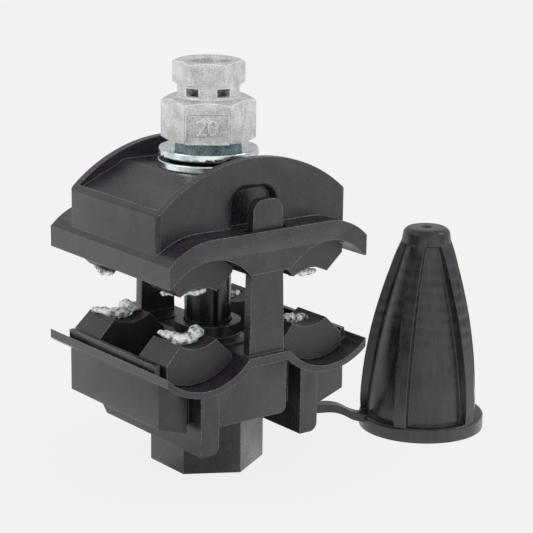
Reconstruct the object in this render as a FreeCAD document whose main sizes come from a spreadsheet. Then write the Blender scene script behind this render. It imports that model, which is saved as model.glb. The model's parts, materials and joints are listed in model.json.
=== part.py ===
import FreeCAD, Part
import math
import os
import re
import Sketcher

# Insulation piercing connector: two black mouldings drawn together by one bolt and a shear nut,
# so that toothed blades bite through the insulation of two parallel conductors.
# Origin: centre of the hexagonal boss's bottom face. X crosses the two grooves, Y runs along
# the conductors, Z is up the bolt. Millimetres.

SIZES = (
    # conductor grooves, shared by both halves
    ("groove_x", 14.2, "middle of a conductor groove from the bolt"),
    ("blade_y", 11.9, "middle of a toothed blade from the bolt"),
    # lower moulding, tray
    ("trough_reach", 9.75, "tray's edge from the trough's axis, across"),
    ("tray_half_depth", 21.85, "both mouldings' ends from the bolt, along the conductors"),
    ("tray_wall", 1.9, "thickness of the curved sheet"),
    ("trough_shift", 1.3, "axis of a trough outward of the groove's middle"),
    ("trough_rise", 8.6, "axis of a trough above the land"),
    ("trough_radius", 13.5, "inside radius of a trough"),
    ("land_top", 28.3, "flat land between the troughs"),
    # lower moulding, underside
    ("boss_flats", 20.8, "hexagonal boss across flats"),
    ("under_level", 14.4, "underside of the core, top of the boss"),
    ("core_lap", 0.1, "core runs this far into the blade boxes"),
    ("core_margin", 2.5, "core's end beyond the middle of the blades"),
    ("middle_half_width", 6.8, "middle box across"),
    ("middle_set", 3.3, "middle box's end face behind the tray's end"),
    ("middle_drop", 0.5, "middle box reaches this far below the core"),
    ("middle_round", 1.6, "round of the middle box's free lower edge"),
    ("keel_shift", 3.75, "keel's inner face from the groove's middle"),
    ("keel_width", 4.48, "keel across"),
    ("keel_front_set", 3.15, "keel's front end behind the tray's end"),
    ("keel_back_set", 3.25, "keel's back end inside the tray's end"),
    ("keel_bottom", 8.3, "keel's underside"),
    ("keel_round", 1.8, "round of the keel's lower right edge"),
    ("keel_bevel", 2.4, "bevel at the keel's back corner"),
    ("side_width", 7.05, "blade box across"),
    ("rail_stand", 0.45, "upstand's outer face outward of the blade box"),
    ("side_set", 5.65, "blade box's end inside the tray's end"),
    ("side_lift", 1.0, "blade box's underside above the boss's top"),
    ("side_fall", 2.4, "blade box's underside falls this much towards the bolt"),
    # lower moulding, upstands
    ("tray_lip", 1.05, "tray's edge outward of the upstand"),
    ("rail_wall", 1.1, "upstand thickness"),
    ("rail_rise", 0.4, "upstand's top above the land"),
    ("rail_set", 0.2, "upstand's end inside the blade box's end"),
    ("post_foot_half", 4.4, "half the width of a guide post at its foot"),
    ("post_half_width", 3.65, "half the width of a guide post at its top"),
    ("post_set", 1.25, "guide post's outer face inside the tray's end"),
    ("post_wall", 2.1, "guide post thickness"),
    ("post_show", 6.2, "guide post stands this far over the cover's shoulder"),
    ("post_round", 2.6, "round of the post's top corners"),
    ("collar_radius", 7.0, "collar round the sleeve's foot"),
    ("collar_rise", 2.5, "collar's top above the land"),
    ("peg_inset", 1.58, "tether peg's axis inside the keel's outer face"),
    ("peg_y", 6.25, "tether peg from the bolt, along"),
    ("peg_radius", 1.2, "tether peg"),
    ("peg_head_radius", 1.9, "mushroom head of the peg, and its shoulder"),
    ("peg_head_height", 0.9, "mushroom head height"),
    # bolt, sleeve
    ("thread_radius", 3.95, "M8 thread outside radius, as rolled"),
    ("running_gap", 0.05, "radial running clearance"),
    ("bolt_hole_radius", 4.3, "clearance hole for the bolt"),
    ("head_flats", 13.0, "bolt head across flats"),
    ("head_height", 5.3, "bolt head height"),
    ("head_play", 0.3, "head pocket, more than the head across flats"),
    ("head_seat", 7.9, "level at which the head seats in the boss"),
    ("bolt_stand", 16.1, "top of the bolt above the washers' seat"),
    ("sleeve_radius", 4.9, "spacer sleeve outside radius"),
    ("sleeve_wall", 0.7, "spacer sleeve wall"),
    ("sleeve_sink", 4.3, "sleeve's foot below the land"),
    ("sleeve_entry", 2.0, "sleeve's upper end inside the cover"),
    ("sleeve_play", 0.25, "radial room round the sleeve"),
    # upper moulding, cover
    ("cover_lip", 0.63, "cover's edge outward of its arch"),
    ("cover_bottom", 45.6, "underside of the middle and of the edges"),
    ("edge_height", 4.3, "cover's outer edge"),
    ("shoulder_run", 10.35, "shoulder's curve, across"),
    ("shoulder_rise", 4.3, "shoulder's curve, up"),
    ("shoulder_radius", 14.6, "radius of the shoulder's curve"),
    ("arch_shift", 0.5, "axis of an arch outward of the groove's middle"),
    ("arch_drop", 7.95, "axis of an arch below the cover's underside"),
    ("arch_radius", 12.4, "inside radius of an arch"),
    # upper moulding, dome
    ("dome_set", 1.15, "dome's end wall inside the cover's edge"),
    ("ledge_depth", 5.85, "ledge of the cover in front of the dome"),
    ("dome_corner", 1.0, "dome's upright edge radius"),
    ("dome_rise", 13.8, "top of the dome's side walls above the shoulder"),
    ("dome_radius", 34.6, "radius of the side walls' top"),
    ("rim_wall", 1.7, "side wall beside the pocket"),
    ("lip_wall", 1.3, "end wall beside the pocket"),
    ("ramp_fall", 3.9, "fall of the ramp towards the end wall"),
    ("crease_run", 1.9, "from the flat seat to the ramp, across"),
    ("seat_step", 1.0, "ramp's upper end below the seat"),
    ("seat_drop", 4.1, "flat seat under the washers, below the dome's top"),
    ("seat_margin", 0.8, "flat seat beyond the flat washer"),
    ("recess_margin", 0.8, "recess and slot wider than a guide post, each side"),
    ("recess_roof", 2.2, "recess's top below the washers' seat"),
    ("recess_depth", 1.8, "recess in the dome's side wall"),
    ("recess_round", 3.2, "round of the recess's top corners"),
    ("recess_rim", 1.2, "round of the recess's rim"),
    ("slot_play", 0.3, "room between a guide post and its slot"),
    ("stroke_room", 9.0, "depth kept free over the sleeve for clamping"),
    # rubber boots round the blades' teeth
    ("boot_outer_reach", 4.5, "boot's outer end from the blade's middle"),
    ("boot_inner_reach", 4.7, "boot's inner end from the blade's middle"),
    ("boot_fit", 0.16, "boot's foot clear of the curved surface under it"),
    ("boot_flare", 0.9, "how far the foot of the outer end stands out"),
    ("horn_half", 4.4, "half the width of the boot's cupped mouth"),
    ("boot_half", 8.0, "half the width of the boot's foot"),
    ("horn_rise", 3.6, "height of the boot's sloping flank"),
    ("lower_boot_edge", 1.29, "edge of a lower boot over the trough"),
    ("upper_boot_edge", 1.08, "edge of an upper boot under the arch"),
    ("mouth_radius", 8.0, "radius of the cupped mouth"),
    # toothed blades
    ("blade_wall", 1.5, "blade thickness"),
    ("blade_play", 0.1, "room on each side of a blade"),
    ("tooth_half", 3.4, "half the width of a toothed edge"),
    ("tooth_height", 1.5, "height of a tooth"),
    ("tooth_stand", 0.3, "teeth end this far behind the boot's mouth"),
    ("bar_floor", 2.6, "lower blade's bottom edge over its box's underside"),
    ("bar_rise", 10.4, "upper blade's top edge over the cover's underside"),
    ("blade_sink", 0.5, "blade's bar lies this far under the surface"),
    ("bar_half", 4.3, "level middle of the bar, half its width"),
    # contact grease in the boots' mouths
    ("grease_half", 3.3, "grease lump across"),
    ("grease_gap", 0.08, "grease clear of its neighbours"),
    ("grease_front_set", 0.5, "grease lump's outer end inside the boot's"),
    ("grease_back_set", 0.8, "grease lump's inner end inside the boot's"),
    ("grease_radius", 5.2, "radius of the lump's crown"),
    # washers and shear nut
    ("washer_radius", 10.6, "flat washer outside radius"),
    ("washer_wall", 1.6, "flat washer thickness"),
    ("cup_radius", 10.5, "cupped washer outside radius"),
    ("cup_wall", 1.5, "cupped washer thickness"),
    ("cup_flat_radius", 7.3, "flat middle of the cupped washer"),
    ("cup_rise", 0.8, "how far its rim is turned up"),
    ("nut_collar_radius", 6.9, "round foot of the nut"),
    ("nut_collar_height", 2.4, "round foot of the nut"),
    ("nut_flats", 17.0, "torque-holding hexagon across flats"),
    ("nut_height", 8.9, "torque-holding hexagon"),
    ("nut_bevel", 1.1, "height of the hexagon's top bevel"),
    ("nut_angle", 22.8, "degrees, how the nut stands on its thread"),
    ("neck_radius", 6.5, "shear neck outside radius"),
    ("neck_height", 2.5, "shear neck"),
    ("window_count", 6, "windows round the shear neck"),
    ("window_width", 2.9, "width of one window"),
    ("drive_flats", 13.0, "break-off hexagon across flats"),
    ("drive_height", 5.0, "break-off hexagon"),
    ("drive_bevel", 0.5, "bevel of the break-off hexagon"),
    ("drive_bore_radius", 5.0, "round bore of the break-off head"),
    # end cap and its tether
    ("cap_x", 52.05, "cap's axis, across"),
    ("cap_y", -10.2, "cap's axis, along"),
    ("cap_radius", 13.66, "cap's rim"),
    ("rim_height", 3.2, "cap's rim"),
    ("rim_round", 0.6, "round of the rim's upper edge"),
    ("rim_ledge", 1.8, "rim's width outside the cap's wall"),
    ("panel_bulge", 154.0, "radius of the slightly rounded wall"),
    ("cap_height", 45.6, "whole cap"),
    ("cap_round", 1.2, "round of the closed end"),
    ("cap_tip_radius", 4.5, "smooth band round the closed end"),
    ("tip_band", 3.2, "height of the smooth band"),
    ("tip_ledge", 0.55, "step from the band down to the wall"),
    ("cap_wall", 1.6, "cap's wall thickness"),
    ("rib_count", 5, "ribs round the cap"),
    ("rib_width", 2.7, "width of a rib"),
    ("rib_phase", -20.6, "degrees, first rib from the strap"),
    ("rib_set", 0.36, "rib's outer edge inside the rim"),
    ("rib_bulge", 98.0, "radius of the rib's rounded edge"),
    ("gate_radius", 1.2, "dimple in the closed end"),
    ("gate_depth", 0.6, "dimple in the closed end"),
    ("strap_width", 3.0, "tether strap"),
    ("strap_wall", 1.8, "tether strap"),
    ("strap_drop", 2.8, "middle of the strap below the keel, beside the peg"),
    ("strap_foot", 2.6, "middle of the strap at the cap's rim"),
    ("strap_bend", 22.5, "from the cap's axis to the strap's bend"),
    ("eye_radius", 2.4, "round eye at the strap's end"),
    ("eye_gap", 0.08, "radial room between the eye and its peg"),
)

# Places that follow from the sizes, so that neighbours move together
FOLLOWING = {
    "trough_x": "groove_x + trough_shift",
    "trough_level": "land_top + trough_rise",
    "tray_half_width": "trough_x + trough_reach",
    "rail_outer": "tray_half_width - tray_lip",
    "rail_half_length": "side_half_depth - rail_set",
    "rail_top": "land_top + rail_rise",
    "side_outer": "rail_outer - rail_stand",
    "side_inner": "side_outer - side_width",
    "side_half_depth": "tray_half_depth - side_set",
    "side_bottom": "under_level + side_lift",
    "core_half_width": "side_inner + core_lap",
    "core_half_depth": "blade_y + core_margin",
    "middle_half_depth": "tray_half_depth - middle_set",
    "middle_bottom": "under_level - middle_drop",
    "keel_inner": "groove_x - keel_shift",
    "keel_outer": "keel_inner + keel_width",
    "keel_front": "tray_half_depth - keel_front_set",
    "keel_back": "tray_half_depth - keel_back_set",
    "post_face": "tray_half_depth - post_set",
    "post_top": "shoulder_level + post_show",
    "collar_top": "land_top + collar_rise",
    "peg_x": "keel_outer - peg_inset",
    "strap_level": "keel_bottom - strap_drop",
    "bolt_end": "washer_seat + bolt_stand",
    "sleeve_bottom": "land_top - sleeve_sink",
    "sleeve_top": "cover_bottom + sleeve_entry",
    "arch_x": "groove_x + arch_shift",
    "arch_level": "cover_bottom - arch_drop",
    "cover_half_width": "arch_x + sqrt(arch_radius^2 - arch_drop^2) + cover_lip",
    "cover_half_depth": "tray_half_depth",
    "cover_edge_top": "cover_bottom + edge_height",
    "shoulder_x": "cover_half_width - shoulder_run",
    "shoulder_level": "cover_edge_top + shoulder_rise",
    "dome_half_width": "cover_half_width - dome_set",
    "dome_half_depth": "cover_half_depth - ledge_depth",
    "dome_peak": "shoulder_level + dome_rise",
    "washer_seat": "dome_peak - seat_drop",
    "seat_half_width": "washer_radius + seat_margin",
    "crease_x": "seat_half_width + crease_run",
    "ramp_head": "washer_seat - seat_step",
    "ramp_foot": "ramp_head - ramp_fall",
    "recess_half_width": "post_foot_half + recess_margin",
    "recess_top": "washer_seat - recess_roof",
    "boot_front": "blade_y + boot_outer_reach",
    "boot_back": "blade_y - boot_inner_reach",
    "boot_inside": "(groove_x - boot_half)",
    "lower_boot_foot": "trough_level - sqrt(trough_radius^2 - (boot_inside - trough_x)^2)",
    "upper_boot_foot": "arch_level + sqrt(arch_radius^2 - (boot_inside - arch_x)^2)",
    "lower_tip": "lower_boot_foot + lower_boot_edge + horn_rise",
    "upper_tip": "upper_boot_foot - upper_boot_edge - horn_rise",
    "lower_bar_bottom": "side_bottom + bar_floor",
    "upper_bar_top": "cover_bottom + bar_rise",
    "grease_front": "boot_front - grease_front_set",
    "grease_back": "boot_back + grease_back_set",
    "panel_radius": "cap_radius - rim_ledge",
    "rib_foot_radius": "cap_radius - rib_set",
}

doc = FreeCAD.newDocument("PiercingConnector")
sheet = doc.addObject("Spreadsheet::Sheet", "Sizes")
for row, (alias, size, note) in enumerate(SIZES, start=1):
    sheet.set(f"A{row}", str(size))
    sheet.set(f"B{row}", note)
    sheet.setAlias(f"A{row}", alias)
doc.recompute()

parts = []


def bound(text):
    """An expression over the sheet's cells, with every following place written out."""
    def cell(match):
        name = match.group()
        return f"({bound(FOLLOWING[name])})" if name in FOLLOWING else "Sizes." + name
    return re.sub(r"\b[a-z]+(?:_[a-z]+)+\b", cell, str(text))


def number(text):
    return float(sheet.evalExpression(bound(text)))


def new_part(label):
    body = doc.addObject("PartDesign::Body", "Body_" + label)
    body.Label = label
    parts.append(body)
    return body


def span(side, low, high):
    """The stretch low..high on the + side, or its mirror image on the - side."""
    if side > 0:
        return low, high
    return f"-({high})", f"-({low})"


def mirrored(points):
    """A right-hand outline followed back along its own mirror image."""
    return points + [(f"-({corner[0]})", *corner[1:]) for corner in reversed(points)]


def arc_between(start, end, radius, turn):
    """The shorter arc from start to end; turn is +1 anticlockwise, -1 clockwise."""
    chord = end - start
    half = chord.Length / 2
    rise = math.sqrt(max(radius ** 2 - half ** 2, 0.0))
    left = FreeCAD.Vector(-chord.y, chord.x, 0).normalize()
    centre = start + chord * 0.5 + left * rise * turn
    first, last = (start, end) if turn > 0 else (end, start)
    angles = [math.atan2(p.y - centre.y, p.x - centre.x) for p in (first, last)]
    circle = Part.Circle(centre, FreeCAD.Vector(0, 0, 1), radius)
    return Part.ArcOfCircle(circle, angles[0], angles[1])


def origin_feature(body, role):
    return [item for item in body.Origin.OriginFeatures if item.Role == role][0]


def draw(body, label, plane, outline, level="0", raised="0", turned="0"):
    """A closed outline on one of the body's base planes, moved to a level along its normal.

    raised lifts it along its own upright, and turned swings it about that upright, in degrees.
    Each corner is (x, y), held to the sheet. A corner (x, y, radius, turn) is reached
    from the one before it by an arc."""
    sketch = body.newObject("Sketcher::SketchObject", label + "_outline")
    sketch.AttachmentSupport = [(origin_feature(body, plane + "_Plane"), "")]
    sketch.MapMode = "FlatFace"
    upright = FreeCAD.Rotation(FreeCAD.Vector(0, 1, 0), 1)
    sketch.AttachmentOffset = FreeCAD.Placement(FreeCAD.Vector(), upright)
    sketch.setExpression("AttachmentOffset.Rotation.Angle", bound(turned))
    sketch.setExpression("AttachmentOffset.Base.y", bound(raised))
    sketch.setExpression("AttachmentOffset.Base.z", bound(level))
    corners = [FreeCAD.Vector(number(c[0]), number(c[1]), 0) for c in outline]
    count = len(outline)
    ends = []
    for i in range(count):
        follower = outline[(i + 1) % count]
        start, end = corners[i], corners[(i + 1) % count]
        if len(follower) == 4:
            line = arc_between(start, end, number(follower[2]), follower[3])
            ends.append((1, 2) if follower[3] > 0 else (2, 1))
        else:
            line = Part.LineSegment(start, end)
            ends.append((1, 2))
        sketch.addGeometry(line, False)
    for i in range(count):
        j = (i + 1) % count
        sketch.addConstraint(Sketcher.Constraint("Coincident", i, ends[i][1], j, ends[j][0]))
    for i in range(count):
        for kind, value, text in (("DistanceX", corners[i].x, outline[i][0]),
                                  ("DistanceY", corners[i].y, outline[i][1])):
            held = Sketcher.Constraint(kind, -1, 1, i, ends[i][0], value)
            index = sketch.addConstraint(held)
            sketch.setExpression(f"Constraints[{index}]", bound(text))
        follower = outline[(i + 1) % count]
        if len(follower) == 4:
            index = sketch.addConstraint(Sketcher.Constraint("Radius", i, number(follower[2])))
            sketch.setExpression(f"Constraints[{index}]", bound(follower[2]))
    return sketch


def extrude(body, label, plane, outline, low, high, cut=False):
    """A pad, or a pocket, of the outline from low to high along the plane's row axis."""
    level = f"-({high})" if plane == "XZ" else low
    sketch = draw(body, label, plane, outline, level)
    feature = body.newObject("PartDesign::Pocket" if cut else "PartDesign::Pad", label)
    feature.Profile = sketch
    feature.Reversed = cut
    feature.setExpression("Length", bound(f"({high}) - ({low})"))
    return feature


def turn_profile(body, label, outline, cut=False):
    """A half section in the XZ plane turned once round the body's own Z axis."""
    sketch = draw(body, label, "XZ", outline)
    feature = body.newObject("PartDesign::Groove" if cut else "PartDesign::Revolution", label)
    feature.Profile = sketch
    feature.ReferenceAxis = (sketch, ["V_Axis"])
    feature.Angle = 360.0
    return feature


def solid(body, kind, label, sizes, place, angle="0", cut=False):
    """One of PartDesign's primitives, added to the body or cut from it, turned about Z."""
    feature = body.newObject("PartDesign::" + ("Subtractive" if cut else "Additive") + kind, label)
    for name, text in sizes.items():
        feature.setExpression(name, bound(text))
    feature.setExpression("Placement.Rotation.Angle", bound(angle))
    for axis, text in zip("xyz", place):
        feature.setExpression("Placement.Base." + axis, bound(text))
    return feature


def block(body, label, x, y, z, cut=False):
    """A box from three (low, high) stretches."""
    stretches = {"Length": x, "Width": y, "Height": z}
    sizes = {name: f"({high}) - ({low})" for name, (low, high) in stretches.items()}
    return solid(body, "Box", label, sizes, (x[0], y[0], z[0]), cut=cut)


def round_bar(body, label, radius, x, y, z, cut=False):
    sizes = {"Radius": radius, "Height": f"({z[1]}) - ({z[0]})"}
    return solid(body, "Cylinder", label, sizes, (x, y, z[0]), cut=cut)


def hexagon(body, label, flats, z, angle, cut=False):
    sizes = {"Circumradius": f"({flats}) / sqrt(3)", "Height": f"({z[1]}) - ({z[0]})"}
    feature = solid(body, "Prism", label, sizes, ("0", "0", z[0]), angle, cut)
    feature.Polygon = 6
    return feature


def rounded_block(body, label, x, y, z, radius):
    """A box with its four upright edges rounded."""
    (left, right), (near, far) = x, y
    outline = [(f"({left}) + {radius}", near, radius, 1),
               (f"({right}) - {radius}", near),
               (right, f"({near}) + {radius}", radius, 1),
               (right, f"({far}) - {radius}"),
               (f"({right}) - {radius}", far, radius, 1),
               (f"({left}) + {radius}", far),
               (left, f"({far}) - {radius}", radius, 1),
               (left, f"({near}) + {radius}")]
    return extrude(body, label, "XY", outline, z[0], z[1])


def soften(body, label, radius, pick, kind="Fillet"):
    """Fillets, or chamfers, on the edges of the body so far that pick() chooses."""
    doc.recompute()
    base = body.Tip
    names = [f"Edge{n}" for n, edge in enumerate(base.Shape.Edges, start=1) if pick(edge)]
    feature = body.newObject("PartDesign::" + kind, label)
    feature.Base = (base, names)
    feature.setExpression("Radius" if kind == "Fillet" else "Size", bound(radius))
    return feature


def level_edge(x, level):
    """Picks the straight edge along the conductors at x and at the level."""
    def pick(edge):
        box = edge.BoundBox
        flat = box.XLength < 1e-4 and box.ZLength < 1e-4
        return flat and abs(box.XMin - number(x)) < 1e-3 and abs(box.ZMin - number(level)) < 1e-3
    return pick


def rim_edge(y):
    """Picks the edges of a guide post's recess that lie in the dome's face at y."""
    def pick(edge):
        box = edge.BoundBox
        flat = box.YLength < 1e-4 and abs(box.YMin - number(y)) < 1e-3
        inside = max(abs(box.XMin), abs(box.XMax)) < number("recess_half_width") + 1e-3
        return flat and inside and box.ZLength > 1e-3 and box.ZMax < number("recess_top") + 1e-3
    return pick


def trough(x, fit="0"):
    """Height of the lower trough's surface at x from the bolt, or fit above it."""
    return f"(trough_level - sqrt((trough_radius - {fit})^2 - (({x}) - trough_x)^2))"


def arch(x, fit="0"):
    """Height of the upper arch's surface at x from the bolt, or fit below it."""
    return f"(arch_level + sqrt((arch_radius - {fit})^2 - (({x}) - arch_x)^2))"


# Where the troughs meet the land between them, and the arches the cover's underside
LAND_HALF = "(trough_x - sqrt(trough_radius^2 - (trough_level - land_top)^2))"
ARCH_REACH = "sqrt(arch_radius^2 - (cover_bottom - arch_level)^2)"
TRAY_TOP = trough("tray_half_width")
LAND_UNDER = f"({LAND_HALF} - tray_wall / 4)"
SHEET_RADIUS = "(trough_radius + tray_wall)"
BLADE_FACE = "(blade_wall / 2 + blade_play)"
BLADE_REACH = "(groove_x + tooth_half + blade_play)"
# Cuts that leave through a surface run this far past it
PAST = "1"
WAY = {"front": -1, "rear": 1, "left": -1, "right": 1}
TOOTH_COUNT = 5


def lower_body():
    """Tray with two troughs, boxes and keels under it, hexagonal boss and two guide posts."""
    body = new_part("lower_body")
    depth = ("-tray_half_depth", "tray_half_depth")
    tray = [("tray_half_width", TRAY_TOP),
            (LAND_HALF, "land_top", "trough_radius", -1),
            (f"-{LAND_HALF}", "land_top"),
            ("-tray_half_width", TRAY_TOP, "trough_radius", -1),
            ("-tray_half_width", f"{TRAY_TOP} - tray_wall"),
            (f"-{LAND_UNDER}", "land_top - tray_wall", SHEET_RADIUS, 1),
            (LAND_UNDER, "land_top - tray_wall"),
            ("tray_half_width", f"{TRAY_TOP} - tray_wall", SHEET_RADIUS, 1)]
    extrude(body, "tray", "XZ", tray, *depth)

    # Everything under the tray is built up to the land and the troughs are then cleared
    full = "land_top"
    for end, way in (("front", 1), ("rear", -1)):
        edge = "middle_half_width"
        middle = [("-keel_inner - core_lap", full),
                  ("-keel_inner - core_lap", "middle_bottom"),
                  (f"{edge} - middle_round", "middle_bottom"),
                  (edge, "middle_bottom + middle_round", "middle_round", way),
                  (edge, full)]
        middle = [(f"{way} * ({corner[0]})", *corner[1:]) for corner in middle]
        along = span(-way, "-core_lap", "middle_half_depth")
        extrude(body, end + "_middle_box", "XZ", middle, *along)
    across = ("-core_half_width", "core_half_width")
    along = ("-core_half_depth", "core_half_depth")
    block(body, "core", across, along, ("under_level", full))
    hexagon(body, "boss", "boss_flats", ("0", "under_level"), "30")
    for name, side in (("right", 1), ("left", -1)):
        keel = [("-keel_front", full),
                ("-keel_front", "keel_bottom"),
                ("keel_back - keel_bevel", "keel_bottom"),
                ("keel_back", "keel_bottom + keel_bevel"),
                ("keel_back", full)]
        extrude(body, name + "_keel", "YZ", keel, *span(side, "keel_inner", "keel_outer"))
        face = "keel_outer" if side > 0 else "-keel_inner"
        lower = level_edge(face, "keel_bottom")
        soften(body, name + "_keel_edge", "keel_round", lower)
        box = [("side_inner", full),
               ("side_outer", full),
               ("side_outer", "side_bottom"),
               ("side_inner", "side_bottom - side_fall")]
        box = [(f"{side} * {corner[0]}", corner[1]) for corner in box]
        extrude(body, name + "_box", "XZ", box, "-side_half_depth", "side_half_depth")
    for name, side in (("right", 1), ("left", -1)):
        clear = [(f"{side} * {LAND_HALF}", "land_top"),
                 (f"{side} * tray_half_width", TRAY_TOP, "trough_radius", side),
                 (f"{side} * (tray_half_width + {PAST})", TRAY_TOP),
                 (f"{side} * (tray_half_width + {PAST})", "trough_level"),
                 (f"{side} * {LAND_HALF}", "trough_level")]
        extrude(body, name + "_trough", "XZ", clear, *depth, cut=True)

    # Upstands
    for name, side in (("right", 1), ("left", -1)):
        across = span(side, "rail_outer - rail_wall", "rail_outer")
        along = ("-rail_half_length", "rail_half_length")
        levels = (f"{trough('rail_outer')} - tray_wall / 2", "rail_top")
        block(body, name + "_rail", across, along, levels)
    post = [("-post_foot_half", "land_top - tray_wall / 2"),
            ("post_foot_half", "land_top - tray_wall / 2"),
            ("post_half_width", "post_top - post_round"),
            ("post_half_width - post_round", "post_top", "post_round", 1),
            ("-post_half_width + post_round", "post_top"),
            ("-post_half_width", "post_top - post_round", "post_round", 1)]
    for name, side in (("rear", 1), ("front", -1)):
        thick = span(side, "post_face - post_wall", "post_face")
        extrude(body, name + "_post", "XZ", post, *thick)
    levels = ("land_top - tray_wall", "collar_top")
    round_bar(body, "collar", "collar_radius", "0", "0", levels)

    # Tether peg under the right keel: shoulder, pin and mushroom head
    shoulder = "strap_level + strap_wall / 2 + slot_play"
    head = "strap_level - strap_wall / 2 - slot_play"
    foot = (shoulder, "keel_bottom + keel_round")
    round_bar(body, "peg_shoulder", "peg_head_radius", "peg_x", "peg_y", foot)
    round_bar(body, "peg", "peg_radius", "peg_x", "peg_y", (head, "keel_bottom"))
    button = (f"{head} - peg_head_height", head)
    round_bar(body, "peg_head", "peg_head_radius", "peg_x", "peg_y", button)

    # Blade slots, bolt hole, head pocket and the sleeve's well
    for end in ("front", "rear"):
        levels = ("lower_bar_bottom - blade_play", "collar_top")
        blade_slot(body, end, levels)
    round_bar(body, "bolt_hole", "bolt_hole_radius", "0", "0", ("0", "collar_top"), cut=True)
    hexagon(body, "head_pocket", "head_flats + head_play", ("0", "head_seat"), "30", cut=True)
    well = ("sleeve_bottom", "collar_top")
    round_bar(body, "sleeve_well", "sleeve_radius + sleeve_play", "0", "0", well, cut=True)


def blade_slot(body, end, levels):
    """Slot across a moulding for one blade, with room on every side of it."""
    across = (f"-{BLADE_REACH}", BLADE_REACH)
    along = span(WAY[end], f"blade_y - {BLADE_FACE}", f"blade_y + {BLADE_FACE}")
    block(body, end + "_blade_slot", across, along, levels, cut=True)


def upper_body():
    """Cover with two arches under it, domed housing with a pocket for the nut, slots for the posts."""
    body = new_part("upper_body")
    depth = ("-cover_half_depth", "cover_half_depth")
    cover = [("cover_half_width", "cover_bottom"),
             ("cover_half_width", "cover_edge_top"),
             ("shoulder_x", "shoulder_level", "shoulder_radius", 1),
             ("-shoulder_x", "shoulder_level"),
             ("-cover_half_width", "cover_edge_top", "shoulder_radius", 1),
             ("-cover_half_width", "cover_bottom"),
             (f"-(arch_x + {ARCH_REACH})", "cover_bottom"),
             (f"-(arch_x - {ARCH_REACH})", "cover_bottom", "arch_radius", -1),
             (f"arch_x - {ARCH_REACH}", "cover_bottom"),
             (f"arch_x + {ARCH_REACH}", "cover_bottom", "arch_radius", -1)]
    extrude(body, "cover", "XZ", cover, *depth)

    dome_edge = "dome_peak - dome_radius + sqrt(dome_radius^2 - dome_half_width^2)"
    across = ("-dome_half_width", "dome_half_width")
    along = ("-dome_half_depth", "dome_half_depth")
    rounded_block(body, "dome", across, along, ("cover_edge_top", "dome_peak"), "dome_corner")
    over = f"dome_peak + {PAST}"
    crown = [("dome_half_width", dome_edge, "dome_radius", -1),
             (f"dome_half_width + {PAST}", dome_edge),
             (f"dome_half_width + {PAST}", over),
             (f"-dome_half_width - {PAST}", over),
             (f"-dome_half_width - {PAST}", dome_edge),
             ("-dome_half_width", dome_edge)]
    extrude(body, "crown", "XZ", crown, *depth, cut=True)

    floor = mirrored([("seat_half_width", "washer_seat"),
                      ("crease_x", "ramp_head"),
                      ("dome_half_width - lip_wall", "ramp_foot"),
                      ("dome_half_width - lip_wall", over)])
    inside = "dome_half_depth - rim_wall"
    extrude(body, "pocket", "XZ", floor, f"-({inside})", inside, cut=True)

    recess = [("-recess_half_width", "shoulder_level"),
              ("recess_half_width", "shoulder_level"),
              ("recess_half_width", "recess_top - recess_round"),
              ("recess_half_width - recess_round", "recess_top", "recess_round", 1),
              ("-recess_half_width + recess_round", "recess_top"),
              ("-recess_half_width", "recess_top - recess_round", "recess_round", 1)]
    for end in ("front", "rear"):
        outer = span(WAY[end], "dome_half_depth - recess_depth", f"dome_half_depth + {PAST}")
        extrude(body, end + "_recess", "XZ", recess, *outer, cut=True)
        soften(body, end + "_recess_rim", "recess_rim", rim_edge(f"{WAY[end]} * dome_half_depth"))
        across = ("-recess_half_width", "recess_half_width")
        along = span(WAY[end], "post_face - post_wall - slot_play", "post_face + slot_play")
        levels = ("cover_bottom", "shoulder_level")
        block(body, end + "_post_slot", across, along, levels, cut=True)
        blade_slot(body, end, ("cover_bottom", "upper_bar_top + blade_play"))
    levels = ("cover_bottom", "washer_seat")
    round_bar(body, "bolt_hole", "bolt_hole_radius", "0", "0", levels, cut=True)
    well = ("cover_bottom", "sleeve_top + stroke_room")
    round_bar(body, "sleeve_well", "sleeve_radius + sleeve_play", "0", "0", well, cut=True)


def clamp_bolt():
    """M8 hexagon bolt, its head held in the boss; the thread's turns are finish, not form."""
    body = new_part("clamp_bolt")
    hexagon(body, "head", "head_flats", ("head_seat - head_height", "head_seat"), "30")
    round_bar(body, "shank", "thread_radius", "0", "0", ("head_seat - head_height", "bolt_end"))
    soften(body, "point", "thread_radius / 6", lambda edge: tip_edge(edge, "bolt_end"), "Chamfer")


def tip_edge(edge, level):
    """True for a round edge lying at the level given."""
    box = edge.BoundBox
    return box.ZLength < 1e-6 and abs(box.ZMin - number(level)) < 1e-4


def bolt_sleeve():
    """Plain spacer tube round the bolt between the halves."""
    body = new_part("bolt_sleeve")
    ends = ("sleeve_bottom", "sleeve_top")
    round_bar(body, "tube", "sleeve_radius", "0", "0", ends)
    round_bar(body, "bore", "sleeve_radius - sleeve_wall", "0", "0", ends, cut=True)


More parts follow.
